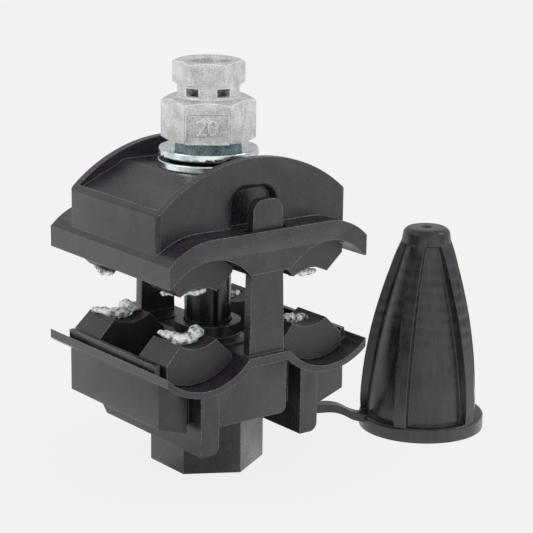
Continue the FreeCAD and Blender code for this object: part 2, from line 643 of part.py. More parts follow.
def boot(half, end, side):
    """One rubber boot: saddle foot, sloping flanks, cupped mouth, flared outer end."""
    sign = WAY[side]
    body = new_part(f"{half}_{end}_{side}_boot")
    inner, outer = "groove_x - boot_half", "groove_x + boot_half"
    lower = half == "lower"
    foot = trough if lower else arch
    foot_radius = ("trough_radius" if lower else "arch_radius") + " - boot_fit"
    tip = half + "_tip"
    flank = f"{tip} - horn_rise" if lower else f"{tip} + horn_rise"
    turn = sign if lower else -sign
    outline = [(inner, foot(inner, "boot_fit")),
               (outer, foot(outer, "boot_fit"), foot_radius, turn),
               (outer, flank),
               ("groove_x + horn_half", tip),
               ("groove_x - horn_half", tip, "mouth_radius", -turn),
               (inner, flank)]
    outline = [(f"{sign} * ({c[0]})",) + c[1:] for c in outline]
    ends = span(WAY[end], "boot_back", "boot_front + boot_flare")
    extrude(body, "saddle", "XZ", outline, *ends)
    flare(body, WAY[end], sign, lower)
    window = span(sign, "groove_x - tooth_half - blade_play", BLADE_REACH)
    along = span(WAY[end], f"blade_y - {BLADE_FACE}", f"blade_y + {BLADE_FACE}")
    if lower:
        levels = ("trough_level - trough_radius", "trough_level")
    else:
        levels = ("arch_level", "arch_level + arch_radius")
    block(body, "blade_window", window, along, levels, cut=True)


def flare(body, way, sign, lower):
    """The outer end slopes back from its foot to its mouth, as part of a cone round the groove."""
    axis_level = "trough_level" if lower else "arch_level"
    reach = "trough_radius" if lower else "arch_radius"
    corners = [(f"{way} * boot_front", "0"),
               (f"{way} * boot_front", f"-{reach} / 3"),
               (f"{way} * (boot_front + boot_flare)", f"-{reach} - {PAST}"),
               (f"{way} * (boot_front + boot_flare + {PAST})", f"-{reach} - {PAST}"),
               (f"{way} * (boot_front + boot_flare + {PAST})", "0")]
    sketch = draw(body, "flare", "YZ", corners, f"{sign} * groove_x", axis_level)
    groove = body.newObject("PartDesign::Groove", "flare")
    groove.Profile = sketch
    groove.ReferenceAxis = (sketch, ["H_Axis"])
    groove.Angle = 360.0


def blade(half, end):
    """Tinned copper blade: a bar through the moulding with a toothed edge in each boot."""
    body = new_part(f"{half}_{end}_blade")
    if half == "lower":
        way, surface, middle, back = 1, trough, "land_top - blade_sink", "lower_bar_bottom"
    else:
        way, surface, middle, back = -1, arch, "cover_bottom + blade_sink", "upper_bar_top"
    point = f"({half}_tip - {way} * tooth_stand)"
    root = f"({half}_tip - {way} * (tooth_stand + tooth_height))"
    inner, outer = "groove_x - tooth_half", "groove_x + tooth_half"
    shoulder = f"{surface(inner)} - {way} * blade_sink"
    edge = [("bar_half", middle), (inner, shoulder), (inner, root)]
    for tooth in range(TOOTH_COUNT):
        edge.append((f"{inner} + tooth_half * {2 * tooth + 1} / {TOOTH_COUNT}", point))
        edge.append((f"{inner} + 2 * tooth_half * {tooth + 1} / {TOOTH_COUNT}", root))
    edge.append((outer, back))
    along = span(WAY[end], "blade_y - blade_wall / 2", "blade_y + blade_wall / 2")
    extrude(body, "plate", "XZ", mirrored(edge), *along)


def grease(half):
    """Contact grease in the four boots of one half, one lump to a boot."""
    body = new_part(half + "_grease")
    way = 1 if half == "lower" else -1
    centre = f"({half}_tip + {way} * sqrt(mouth_radius^2 - horn_half^2))"
    edge = f"({centre} - {way} * sqrt((mouth_radius - grease_gap)^2 - grease_half^2))"
    points = f"({half}_tip - {way} * (tooth_stand - grease_gap))"
    for side in ("left", "right"):
        turn = WAY[side] * way
        inner = f"{WAY[side]} * (groove_x - grease_half)"
        outer = f"{WAY[side]} * (groove_x + grease_half)"
        lump = [(inner, edge, "grease_radius", turn),
                (outer, edge, "mouth_radius - grease_gap", turn)]
        for end in ("front", "rear"):
            along = span(WAY[end], "grease_back", "grease_front")
            extrude(body, f"{end}_{side}_lump", "XZ", lump, *along)
    # Each lump is saddled over the teeth that stand in it
    reach = "(groove_x + boot_half)"
    levels = (f"{half}_tip - horn_rise", points)
    if half == "upper":
        levels = (points, f"{half}_tip + horn_rise")
    for end in ("front", "rear"):
        across = (f"-{reach}", reach)
        room = f"({BLADE_FACE} + grease_gap)"
        along = span(WAY[end], f"blade_y - {room}", f"blade_y + {room}")
        block(body, end + "_saddle", across, along, levels, cut=True)


def flat_washer():
    body = new_part("flat_washer")
    levels = ("washer_seat", "washer_seat + washer_wall")
    round_bar(body, "disc", "washer_radius", "0", "0", levels)
    round_bar(body, "hole", "bolt_hole_radius", "0", "0", levels, cut=True)


def cupped_washer():
    """Spring washer with its rim turned up towards the nut."""
    body = new_part("cupped_washer")
    sole = "washer_seat + washer_wall"
    lean = "cup_wall / 6"
    section = [("bolt_hole_radius", sole),
               ("cup_flat_radius", sole),
               ("cup_radius", f"{sole} + cup_rise"),
               (f"cup_radius - {lean}", f"{sole} + cup_rise + cup_wall"),
               (f"cup_flat_radius - {lean}", f"{sole} + cup_wall"),
               ("bolt_hole_radius", f"{sole} + cup_wall")]
    turn_profile(body, "section", section)


def bevel(body, label, flats, level, height, way):
    """Cone cut round one end of a hexagon; way is +1 at its top and -1 at its bottom."""
    corner = f"(({flats}) / sqrt(3) + {height})"
    cone = [(f"({flats}) / 2 - {height} / 2", level),
            (corner, f"{level} - {way} * {height} * 1.3"),
            (corner, f"{level} + {way} * {height}"),
            (f"({flats}) / 2 - {height} / 2", f"{level} + {way} * {height}")]
    turn_profile(body, label, cone, cut=True)


def shear_nut():
    """Torque-controlled nut: round foot, holding hexagon, windowed shear neck, break-off head."""
    body = new_part("shear_nut")
    foot = "(washer_seat + washer_wall + cup_wall)"
    under = f"({foot} + nut_collar_height)"
    neck = f"({under} + nut_height)"
    drive = f"({neck} + neck_height)"
    top = f"({drive} + drive_height)"
    hexagon(body, "holding_hexagon", "nut_flats", (under, neck), "nut_angle")
    bevel(body, "top_bevel", "nut_flats", neck, "nut_bevel", 1)
    bevel(body, "under_bevel", "nut_flats", under, "(nut_bevel / 3)", -1)
    hexagon(body, "break_off_head", "drive_flats", (drive, top), "nut_angle")
    bevel(body, "head_top_bevel", "drive_flats", top, "drive_bevel", 1)
    bevel(body, "head_under_bevel", "drive_flats", drive, "drive_bevel", -1)
    round_bar(body, "foot", "nut_collar_radius", "0", "0", (foot, f"{under} + nut_bevel"))
    round_bar(body, "neck", "neck_radius", "0", "0", (f"{neck} - nut_bevel", f"{drive} + drive_bevel"))
    round_bar(body, "thread_bore", "thread_radius + running_gap", "0", "0", (foot, top), cut=True)
    round_bar(body, "head_bore", "drive_bore_radius", "0", "0", (neck, top), cut=True)
    mouth = [("drive_bore_radius - drive_bevel", f"{top} - drive_bevel * 2"),
             ("drive_bore_radius + drive_bevel", top),
             ("drive_bore_radius + drive_bevel", f"{top} + drive_bevel"),
             ("drive_bore_radius - drive_bevel", f"{top} + drive_bevel")]
    turn_profile(body, "mouth", mouth, cut=True)
    # Windows stand at the hexagon's corners, webs at its faces
    reach = "(neck_radius + drive_bevel)"
    for window in range(round(number("window_count"))):
        angle = f"(nut_angle + 360 * {window} / window_count)"
        sizes = {"Length": reach, "Width": "window_width", "Height": "neck_height * 0.7"}
        place = (f"window_width / 2 * sin({angle} * 1deg)",
                 f"-window_width / 2 * cos({angle} * 1deg)",
                 f"{neck} + neck_height * 0.18")
        solid(body, "Box", f"window_{window + 1}", sizes, place, angle, cut=True)


def end_cap():
    """Hollow ribbed cap, mouth down, with its strap and the eye that snaps on the peg."""
    body = new_part("end_cap")
    shoulder = "cap_height - cap_round"
    band = "(cap_height - tip_band)"
    top_radius = "(cap_tip_radius - tip_ledge)"
    section = [("cap_radius - cap_wall", "0"),
               ("cap_radius", "0"),
               ("cap_radius", "rim_height - rim_round"),
               ("cap_radius - rim_round", "rim_height", "rim_round", 1),
               ("panel_radius", "rim_height"),
               (top_radius, f"{band} - tip_ledge", "panel_bulge", 1),
               ("cap_tip_radius", band),
               ("cap_tip_radius", shoulder),
               ("cap_tip_radius - cap_round", "cap_height", "cap_round", 1),
               ("0", "cap_height"),
               ("0", f"{shoulder} - cap_wall"),
               (f"{top_radius} - cap_wall", f"{shoulder} - cap_wall"),
               ("panel_radius - cap_wall", "rim_height", "panel_bulge", -1)]
    turn_profile(body, "shell", section)
    rib = [("panel_radius - cap_wall / 2", "rim_height - rim_round"),
           ("rib_foot_radius", "rim_height - rim_round"),
           ("cap_tip_radius", band, "rib_bulge", 1),
           (f"{top_radius} - cap_wall / 2", band)]
    sketch = draw(body, "rib", "XZ", rib, turned="rib_phase")
    first = body.newObject("PartDesign::Pad", "rib")
    first.Profile = sketch
    first.Midplane = True
    first.setExpression("Length", bound("rib_width"))
    ribs = body.newObject("PartDesign::PolarPattern", "ribs")
    ribs.Originals = [first]
    ribs.Axis = (origin_feature(body, "Z_Axis"), [""])
    ribs.Angle = 360.0
    ribs.setExpression("Occurrences", bound("rib_count"))
    body.Tip = ribs
    gate = [("0", "cap_height - gate_depth"),
            ("gate_radius - gate_depth", "cap_height - gate_depth"),
            ("gate_radius", "cap_height"),
            ("0", "cap_height")]
    turn_profile(body, "gate_mark", gate, cut=True)

    reach = "sqrt((peg_x - cap_x)^2 + (peg_y - cap_y)^2)"
    root = "(cap_radius - cap_wall / 2)"
    low, high = "(strap_level - strap_wall / 2)", "(strap_level + strap_wall / 2)"
    mid_x = f"(strap_bend + {root}) / 2"
    mid_level = "(strap_level + strap_foot) / 2"
    fall = "(strap_level - strap_foot)"
    bend = f"((strap_bend - {root})^2 + {fall}^2) / (4 * {fall})"
    strap = [(reach, high),
             (reach, low),
             ("strap_bend", low),
             (mid_x, f"{mid_level} - strap_wall / 2", bend, 1),
             (root, "strap_foot - strap_wall / 2", bend, -1),
             (root, "strap_foot + strap_wall / 2"),
             (mid_x, f"{mid_level} + strap_wall / 2", bend, 1),
             ("strap_bend", high, bend, -1)]
    extrude(body, "strap", "XZ", strap, "-strap_width / 2", "strap_width / 2")
    round_bar(body, "eye", "eye_radius", reach, "0", (low, high))
    round_bar(body, "eye_hole", "peg_radius + eye_gap", reach, "0", (low, high), cut=True)
    body.setExpression("Placement.Base.x", bound("cap_x"))
    body.setExpression("Placement.Base.y", bound("cap_y"))
    body.setExpression("Placement.Rotation.Angle", bound("atan2(peg_y - cap_y; peg_x - cap_x)"))


lower_body()
upper_body()
clamp_bolt()
bolt_sleeve()
flat_washer()
cupped_washer()
shear_nut()
end_cap()
for half in ("lower", "upper"):
    for end in ("front", "rear"):
        blade(half, end)
        for side in ("left", "right"):
            boot(half, end, side)
    grease(half)
doc.recompute()

os.makedirs("parts", exist_ok=True)
for item in doc.Objects:
    bad = [state for state in item.State if state in ("Invalid", "Error")]
    if bad:
        raise RuntimeError(f"{item.Label} ({item.Name}): {bad}")
for body in parts:
    if body.Shape.isNull() or not body.Shape.isValid():
        raise RuntimeError(body.Label + " has no valid shape")
for body in parts:
    body.Shape.exportStep(f"parts/{body.Label}.step")
    print(body.Label, round(body.Shape.Volume, 1), len(body.Shape.Solids))
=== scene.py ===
import json
import math
import random
import bmesh
import bpy
from mathutils import Matrix, Vector


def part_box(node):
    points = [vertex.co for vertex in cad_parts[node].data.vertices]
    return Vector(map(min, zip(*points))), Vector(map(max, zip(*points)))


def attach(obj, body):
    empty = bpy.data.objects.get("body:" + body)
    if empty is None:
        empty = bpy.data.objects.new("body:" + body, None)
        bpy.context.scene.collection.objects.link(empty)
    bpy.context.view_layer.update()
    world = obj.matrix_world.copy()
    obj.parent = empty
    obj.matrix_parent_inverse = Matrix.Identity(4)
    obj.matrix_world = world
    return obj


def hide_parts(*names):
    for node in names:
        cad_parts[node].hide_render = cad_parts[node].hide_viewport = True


# Insulation piercing connector: finish, grease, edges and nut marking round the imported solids. Metres.

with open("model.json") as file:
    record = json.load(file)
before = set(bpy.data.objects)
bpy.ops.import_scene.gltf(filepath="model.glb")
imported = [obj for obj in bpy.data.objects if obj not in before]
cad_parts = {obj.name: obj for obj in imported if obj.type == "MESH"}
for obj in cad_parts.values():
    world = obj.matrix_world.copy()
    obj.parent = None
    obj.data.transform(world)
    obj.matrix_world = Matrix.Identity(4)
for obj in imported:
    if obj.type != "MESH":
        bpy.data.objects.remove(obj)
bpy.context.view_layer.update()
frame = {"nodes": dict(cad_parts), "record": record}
MM = 0.001
NUT_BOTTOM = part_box("shear_nut")[0][2]
NUT_FOOT = 2.4 * MM


# Camera, as the photograph was taken

AZIMUTH = math.radians(-37.5)
ELEVATION = math.radians(14.6)
ROLL = math.radians(0.7)
DISTANCE = 427 * MM
LENS_PER_FRAME = 1994 / 533
TARGET = Vector((15.48, 0, 39.79)) * MM


def make_camera():
    back = Vector((math.sin(AZIMUTH) * math.cos(ELEVATION),
                   -math.cos(AZIMUTH) * math.cos(ELEVATION),
                   math.sin(ELEVATION)))
    data = bpy.data.cameras.new("camera")
    data.sensor_width = 36
    data.lens = data.sensor_width * LENS_PER_FRAME
    data.clip_start = 0.01
    data.clip_end = 20
    camera = bpy.data.objects.new("camera", data)
    bpy.context.collection.objects.link(camera)
    turn = (-back).to_track_quat("-Z", "Y").to_matrix().to_4x4()
    roll = Matrix.Rotation(ROLL, 4, "Z")
    camera.matrix_world = Matrix.Translation(TARGET + back * DISTANCE) @ turn @ roll
    bpy.context.scene.camera = camera


make_camera()


# Shader arithmetic

class Signal:
    """A shader socket that can be used in ordinary arithmetic."""

    def __init__(self, surface, socket):
        self.surface = surface
        self.socket = socket

    def math(self, operation, *values):
        return self.surface.add("ShaderNodeMath", {"operation": operation}, [self, *values])

    def __add__(self, other):
        return self.math("ADD", other)

    def __sub__(self, other):
        return self.math("SUBTRACT", other)

    def __rsub__(self, other):
        return self.surface.add("ShaderNodeMath", {"operation": "SUBTRACT"}, [other, self])

    def __mul__(self, other):
        return self.math("MULTIPLY", other)

    __radd__ = __add__
    __rmul__ = __mul__


class Surface:
    """A material or world being put together, node by node."""

    def __init__(self, name, made="materials", place="Object"):
        self.material = getattr(bpy.data, made).new(name)
        self.material.use_nodes = True
        self.nodes = self.material.node_tree.nodes
        self.links = self.material.node_tree.links
        self.nodes.clear()
        self.place = self.add("ShaderNodeTexCoord", out=place)

    def add(self, kind, settings=None, values=(), out=0):
        """A node: its settings first, then its sockets, by name or in order."""
        node = self.nodes.new(kind)
        for name, value in (settings or {}).items():
            setattr(node, name, value)
        pairs = values.items() if isinstance(values, dict) else enumerate(values)
        for key, value in pairs:
            self.plug(value, node.inputs[key])
        return Signal(self, node.outputs[out]) if node.outputs else None

    def plug(self, value, socket):
        if isinstance(value, Signal):
            self.links.new(value.socket, socket)
        else:
            socket.default_value = value

    def noise(self, size, detail=2.0, place=None, roughness=0.5):
        """Cloudy noise whose lumps are about size metres across."""
        sockets = {"Vector": place or self.place, "Scale": 1 / size, "Detail": detail,
                   "Roughness": roughness}
        return self.add("ShaderNodeTexNoise", None, sockets)

    def stretched(self, x, y, z):
        """The object's coordinates, scaled along each axis."""
        return self.add("ShaderNodeMapping", None, {"Vector": self.place, "Scale": (x, y, z)})

    def between(self, value, low, high, start=0.0, end=1.0, kind="LINEAR"):
        """The value, mapped from low..high to start..end and held there."""
        sockets = {"Value": value, "From Min": low, "From Max": high, "To Min": start, "To Max": end}
        return self.add("ShaderNodeMapRange", {"interpolation_type": kind}, sockets)

    def towards(self, azimuth, low, high):
        """One where the place lies towards the azimuth, seen from above, falling to zero."""
        a = math.radians(azimuth)
        flat = self.add("ShaderNodeVectorMath", {"operation": "MULTIPLY"}, [self.place, (1, 1, 0)])
        flat = self.add("ShaderNodeVectorMath", {"operation": "NORMALIZE"}, [flat])
        along = self.add("ShaderNodeVectorMath", {"operation": "DOT_PRODUCT"},
                         [flat, (math.cos(a), math.sin(a), 0)], out="Value")
        return self.between(along, low, high, kind="SMOOTHSTEP")

    def lobes(self, *lobes):
        """Light from several sides: each lobe is (azimuth, low, high, strength)."""
        parts = [self.towards(azimuth, low, high) * strength for azimuth, low, high, strength in lobes]
        total = parts[0]
        for part in parts[1:]:
            total = total + part
        return total

    def mix(self, share, first, second):
        """The first colour, or the second where the share is one."""
        node = self.nodes.new("ShaderNodeMix")
        node.data_type = "RGBA"
        for value, index in ((share, 0), (first, 6), (second, 7)):
            if isinstance(value, tuple):
                value = (*value, 1)
            self.plug(value, node.inputs[index])
        return Signal(self, node.outputs[2])

    def bump(self, height, depth, under=None):
        """Relief of the depth given, in metres, over an earlier relief if there is one."""
        sockets = {"Height": height, "Distance": depth, "Strength": 1.0}
        if under:
            sockets["Normal"] = under
        return self.add("ShaderNodeBump", None, sockets)

    def rounding(self, radius):
        """The surface's normal with its edges rounded, and a mask that is one on those edges."""
        soft = self.add("ShaderNodeBevel", {"samples": 6}, {"Radius": radius})
        flat = self.add("ShaderNodeNewGeometry", out="Normal")
        match = self.add("ShaderNodeVectorMath", {"operation": "DOT_PRODUCT"}, [soft, flat],
                         out="Value")
        return soft, self.between(match, 0.985, 0.90)

    def height(self):
        """The height above the floor."""
        return self.add("ShaderNodeSeparateXYZ", None, [self.place], out=2)

    def finish(self, sockets):
        if isinstance(sockets["Base Color"], tuple):
            sockets["Base Color"] = (*sockets["Base Color"], 1)
        shader = self.add("ShaderNodeBsdfPrincipled", None, sockets)
        self.add("ShaderNodeOutputMaterial", None, [shader])
        return self.material


# Finishes

# Radius of the rounded edges, which also carry a painted highlight
EDGE_ROUND = 0.3 * MM
CLOUD = 6 * MM
POLYMER_IOR = 1.5


def moulded(name, dark, light, edge_highlight, rough, grain, depth):
    """Black moulded polymer: grain, faint flow streaks, uneven gloss, a painted highlight on the edges.
    """
    s = Surface(name)
    soft, edge = s.rounding(EDGE_ROUND)
    cloud = s.noise(CLOUD, 4)
    streak = s.noise(1.8 * MM, 3, s.stretched(1, 1, 0.3))
    fleck = s.noise(0.36 * MM, 3, roughness=0.8)
    tone = s.between(cloud * 0.32 + streak * 0.1 + fleck * 0.58, 0.38, 0.64)
    # Painted highlight along the rounded edges, broken up by noise
    painted_highlight = edge * s.between(s.noise(0.5 * MM, 3, roughness=0.8), 0.4, 0.6, 0.15, 1.0)
    colour = s.mix(painted_highlight, s.mix(tone, dark, light), edge_highlight)
    uneven = cloud * 0.3 + streak * 0.2 + fleck * 0.5
    gloss = s.between(uneven, 0.38, 0.62, rough - 0.08, rough + 0.1)
    fine = s.noise(grain, 3, roughness=0.75)
    swell = s.noise(CLOUD, 1)
    relief = s.bump(fine, depth, s.bump(swell, 0.03 * MM, soft))
    return s.finish({"Base Color": colour, "Roughness": gloss, "Normal": relief, "IOR": POLYMER_IOR})


def nylon():
    """The two housings' black glass-filled nylon."""
    return moulded("glass_filled_nylon", (0.005, 0.003, 0.006), (0.042, 0.033, 0.046),
                   (0.27, 0.255, 0.265), 0.29, 0.34 * MM, 0.035 * MM)


def elastomer():
    """The boots' softer, duller black."""
    return moulded("boot_elastomer", (0.008, 0.006, 0.009), (0.046, 0.038, 0.050),
                   (0.42, 0.41, 0.42), 0.46, 0.34 * MM, 0.06 * MM)


CORE_RING = 2.7 * MM
RINGS_FROM = (17 * MM, 26 * MM)
RINGS_TO = (41 * MM, 38 * MM)


def cap_plastic():
    """The cap's moulding, with faint rings left by the core in its upper part."""
    s = Surface("cap_moulding")
    soft, edge = s.rounding(EDGE_ROUND)
    height = s.height()
    cloud = s.noise(CLOUD, 4)
    streak = s.noise(1.2 * MM, 3, s.stretched(1, 1, 0.15))
    fleck = s.noise(0.3 * MM, 3, roughness=0.7)
    ring = s.add("ShaderNodeMath", {"operation": "SINE"}, [height * (2 * math.pi / CORE_RING)])
    ring = ring * s.between(height, *RINGS_FROM) * s.between(height, *RINGS_TO)
    tone = s.between(cloud * 0.3 + streak * 0.35 + fleck * 0.35 + ring * 0.035, 0.4, 0.62)
    # Painted highlight: the edges mixed towards a paler grey
    colour = s.mix(edge * 0.7, s.mix(tone, (0.006, 0.004, 0.007), (0.036, 0.030, 0.037)),
                   (0.09, 0.084, 0.09))
    gloss = s.between(streak * 0.6 + fleck * 0.4, 0.38, 0.62, 0.24, 0.4)
    relief = s.bump(fleck, 0.012 * MM, s.bump(ring, 0.05 * MM, soft))
    return s.finish({"Base Color": colour, "Roughness": gloss, "Normal": relief, "IOR": POLYMER_IOR})


def sleeve_plastic():
    """The glossy black tube round the bolt."""
    return moulded("sleeve_tube", (0.004, 0.004, 0.005), (0.011, 0.011, 0.012),
                   (0.05, 0.05, 0.052), 0.2, 0.6 * MM, 0.008 * MM)


def cast_alloy():
    """Pale grey casting: sandy, sparkling skin, small pits, painted highlights on the arrises, and a
    dark greenish foot of painted shade with a painted teal reflection.
    """
    s = Surface("cast_nut_alloy")
    soft, edge = s.rounding(0.4 * MM)
    stain = s.noise(2.6 * MM, 4)
    sand = s.noise(0.27 * MM, 3, roughness=0.75)
    tone = s.between(stain * 0.3 + sand * 0.7, 0.42, 0.60)
    colour = s.mix(tone, (0.44, 0.44, 0.43), (0.84, 0.84, 0.825))
    # Painted highlight on the arrises
    colour = s.mix(edge, colour, (0.97, 0.97, 0.95))
    # Painted shade with a painted teal reflection of the washer on the nut's foot
    foot_top = NUT_BOTTOM + NUT_FOOT
    foot_shade = s.between(s.height(), foot_top + 0.1 * MM, foot_top - 0.2 * MM)
    colour = s.mix(foot_shade, colour, s.mix(tone, (0.05, 0.08, 0.085), (0.30, 0.38, 0.39)))
    pit = s.between(s.noise(0.5 * MM, 2), 0.6, 0.7)
    relief = s.bump(sand, 0.16 * MM, s.bump(1 - pit, 0.06 * MM, soft))
    return s.finish({"Base Color": colour, "Roughness": s.between(sand, 0.35, 0.65, 0.28, 0.46),
                     "Metallic": s.between(foot_shade, 0, 1, 0.62, 1.0), "Normal": relief})


def zinc_plate():
    """Bright bluish zinc over pressed steel, with fine turning marks and dull patches."""
    s = Surface("zinc_plated_washer")
    patch = s.noise(2.4 * MM, 3)
    turned = s.noise(0.3 * MM, 2, s.stretched(0.3, 0.3, 2))
    colour = s.mix(s.between(patch, 0.35, 0.65), (0.50, 0.55, 0.57), (0.80, 0.84, 0.85))
    gloss = s.between(patch * 0.5 + turned * 0.5, 0.35, 0.65, 0.12, 0.27)
    return s.finish({"Base Color": colour, "Roughness": gloss, "Metallic": 1.0,
                     "Normal": s.bump(turned, 0.004 * MM)})


def dull_zinc():
    """Dark, slightly green zinc on the bolt."""
    s = Surface("passivated_bolt")
    patch = s.noise(1.2 * MM, 4)
    colour = s.mix(s.between(patch, 0.35, 0.65), (0.07, 0.09, 0.08), (0.30, 0.33, 0.28))
    return s.finish({"Base Color": colour, "Roughness": s.between(patch, 0.3, 0.7, 0.25, 0.45),
                     "Metallic": 0.9, "Normal": s.bump(s.noise(0.3 * MM, 2), 0.01 * MM)})


def tinned():
    """Tinned copper: satin, drawn along the blade."""
    s = Surface("tinned_copper_blade")
    drawn = s.noise(0.2 * MM, 3, s.stretched(0.1, 1, 1))
    cloud = s.noise(1.5 * MM, 3)
    colour = s.mix(s.between(cloud, 0.35, 0.65), (0.50, 0.49, 0.46), (0.68, 0.67, 0.64))
    return s.finish({"Base Color": colour, "Roughness": s.between(drawn, 0.3, 0.7, 0.28, 0.45),
                     "Metallic": 1.0, "Normal": s.bump(drawn, 0.006 * MM)})


def contact_grease():
    """Wet, cloudy, bluish-white grease."""
    s = Surface("contact_grease")
    cloud = s.noise(1.1 * MM, 4)
    crumb = s.noise(0.36 * MM, 4, roughness=0.8)
    tone = s.between(cloud * 0.75 + crumb * 0.25, 0.40, 0.54)
    colour = s.mix(tone, (0.26, 0.29, 0.31), (0.90, 0.92, 0.90))
    return s.finish({"Base Color": colour, "Roughness": s.between(cloud, 0.4, 0.6, 0.2, 0.4),
                     "Normal": s.bump(crumb, 0.1 * MM), "Coat Weight": 0.35,
                     "Subsurface Weight": 0.25, "Subsurface Scale": 0.0006,
                     "Subsurface Radius": (1, 1, 1), "Alpha": s.between(cloud, 0.34, 0.46, 0.6, 1.0)})


FINISHES = {
    "nylon": nylon(),
    "boot_rubber": elastomer(),
    "cap_plastic": cap_plastic(),
    "sleeve_plastic": sleeve_plastic(),
    "nut_alloy": cast_alloy(),
    "washer_steel": zinc_plate(),
    "bolt_steel": dull_zinc(),
    "tinned_copper": tinned(),
    "grease": contact_grease(),
}
SLOTS = {part["node"]: part["material_slot"] for part in frame["record"]["subparts"]}
BODIES = {node: body for body, nodes in frame["record"]["behaviour"]["bodies"].items()
          for node in nodes}


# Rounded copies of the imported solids

SHARP = math.radians(28)
NUT_SHARP = math.radians(40)
JOINED = 0.0005 * MM
FLAT = math.radians(0.5)
ROUND_STEPS = 2


def place_piece(bm, name, body, slot):
    """The mesh becomes a piece at the origin that rides on its body."""
    mesh = bpy.data.meshes.new(name)
    bm.to_mesh(mesh)
    bm.free()
    piece = bpy.data.objects.new(name, mesh)
    bpy.context.collection.objects.link(piece)
    mesh.materials.append(FINISHES[slot])
    mesh.shade_smooth()
    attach(piece, body)
    return piece


def merged(node):
    """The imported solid's mesh with its loose triangles joined and its flat faces whole."""
    bm = bmesh.new()
    bm.from_mesh(frame["nodes"][node].data)
    bmesh.ops.remove_doubles(bm, verts=bm.verts, dist=JOINED)
    bmesh.ops.dissolve_limit(bm, angle_limit=FLAT, verts=bm.verts, edges=bm.edges)
    return bm


def rounded(node, width, sharp=SHARP, reshape=None):
    """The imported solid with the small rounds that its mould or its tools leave."""
    bm = merged(node)
    if reshape:
        reshape(bm)
    piece = place_piece(bm, node + "_finished", BODIES[node], SLOTS[node])
    piece.data.set_sharp_from_angle(angle=sharp)
    bevel = piece.modifiers.new("rounds", "BEVEL")
    bevel.width = width
    bevel.segments = ROUND_STEPS
    bevel.limit_method = "ANGLE"
    bevel.angle_limit = sharp
    bevel.harden_normals = True
    bevel.use_clamp_overlap = True
    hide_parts(node)


for name, node in frame["nodes"].items():
    node.data.materials.clear()
    node.data.materials.append(FINISHES[SLOTS[name]])
    node.data.shade_smooth()
    node.data.set_sharp_from_angle(angle=SHARP)


# The cap's outline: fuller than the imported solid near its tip

CAP_AXIS = Vector((52.05, -10.2)) * MM
CAP_REACH = 14 * MM
CAP_FULLER = ((0, 1.02), (3.2, 1.02), (6, 1.04), (20, 1.05), (30, 1.065), (36, 1.10), (40, 1.17),
              (42.2, 1.22), (43.6, 1.19), (44.8, 1.13), (46, 1.08))


def between_points(value, points):
    """The value's place on a line drawn through the points (height, share)."""
    for (a, at_a), (b, at_b) in zip(points, points[1:]):
        if value <= b:
            return at_a + (at_b - at_a) * max(0, value - a) / (b - a)
    return points[-1][1]


def fuller_cap(bm):
    """The cap's wall, drawn out from its axis by the share for its height; the strap stays."""
    for vertex in bm.verts:
        out = vertex.co.xy - CAP_AXIS
        if out.length < CAP_REACH:
            grown = out * between_points(vertex.co.z / MM, CAP_FULLER)
            vertex.co.x = CAP_AXIS.x + grown.x
            vertex.co.y = CAP_AXIS.y + grown.y


# Grease: lumps strung along a path, then joined into one skin

GREASE = {
    "lower_grease": ("lower", (
        ((-18.1, -8.6, 33.0, 0.75), (-17.1, -9.9, 32.5, 1.1), (-15.8, -11.4, 32.0, 1.4),
         (-14.4, -12.4, 31.8, 1.5), (-12.9, -12.6, 31.9, 1.5)),
        ((-12.0, -12.1, 32.7, 1.7), (-11.3, -11.6, 32.8, 1.6)),
        ((-19.0, 14.4, 32.5, 0.9), (-17.4, 12.6, 32.2, 1.3), (-15.4, 11.1, 32.0, 1.5),
         (-13.4, 10.5, 32.0, 1.5)),
        ((-12.2, 11.2, 32.6, 1.6), (-12.4, 13.0, 32.9, 1.5), (-10.8, 12.4, 32.7, 1.3),
         (-10.9, 10.4, 32.4, 1.3)),
        ((10.8, -9.2, 31.6, 0.8), (12.6, -10.6, 31.2, 1.0), (14.6, -11.6, 31.1, 1.0),
         (16.6, -11.8, 31.4, 0.8), (15.4, -9.6, 31.2, 0.8), (13.4, -8.9, 31.2, 0.7)),
        ((12.0, 9.8, 31.6, 0.9), (13.4, 11.2, 31.4, 1.0), (15.2, 12.2, 31.5, 0.9)))),
    "upper_grease": ("upper", (
        ((-17.6, -13.0, 42.0, 0.7), (-18.3, -11.2, 41.5, 0.8), (-18.4, -9.2, 41.6, 0.65)),
        ((-16.4, -14.6, 42.2, 0.7), (-14.6, -15.2, 42.1, 1.0), (-12.6, -15.0, 42.1, 0.95),
         (-10.8, -14.0, 41.9, 0.7)),
        ((11.2, -14.0, 42.0, 0.8), (13.2, -14.9, 42.1, 1.0), (15.2, -15.0, 42.1, 1.0),
         (17.4, -13.6, 41.8, 0.7)),
        ((-18.8, 7.9, 41.6, 0.7), (-18.9, 10.6, 41.5, 0.9), (-18.4, 13.6, 41.6, 0.9),
         (-17.2, 15.6, 41.9, 0.8)),
        ((12.8, 11.2, 42.4, 0.8), (14.6, 10.4, 42.4, 0.9)))),
}


LUMPS = 4
JOLT = 0.24
SKIN = 0.14 * MM
CRUMB = 1.5 * MM
CRUMB_DEPTH = 0.7 * MM


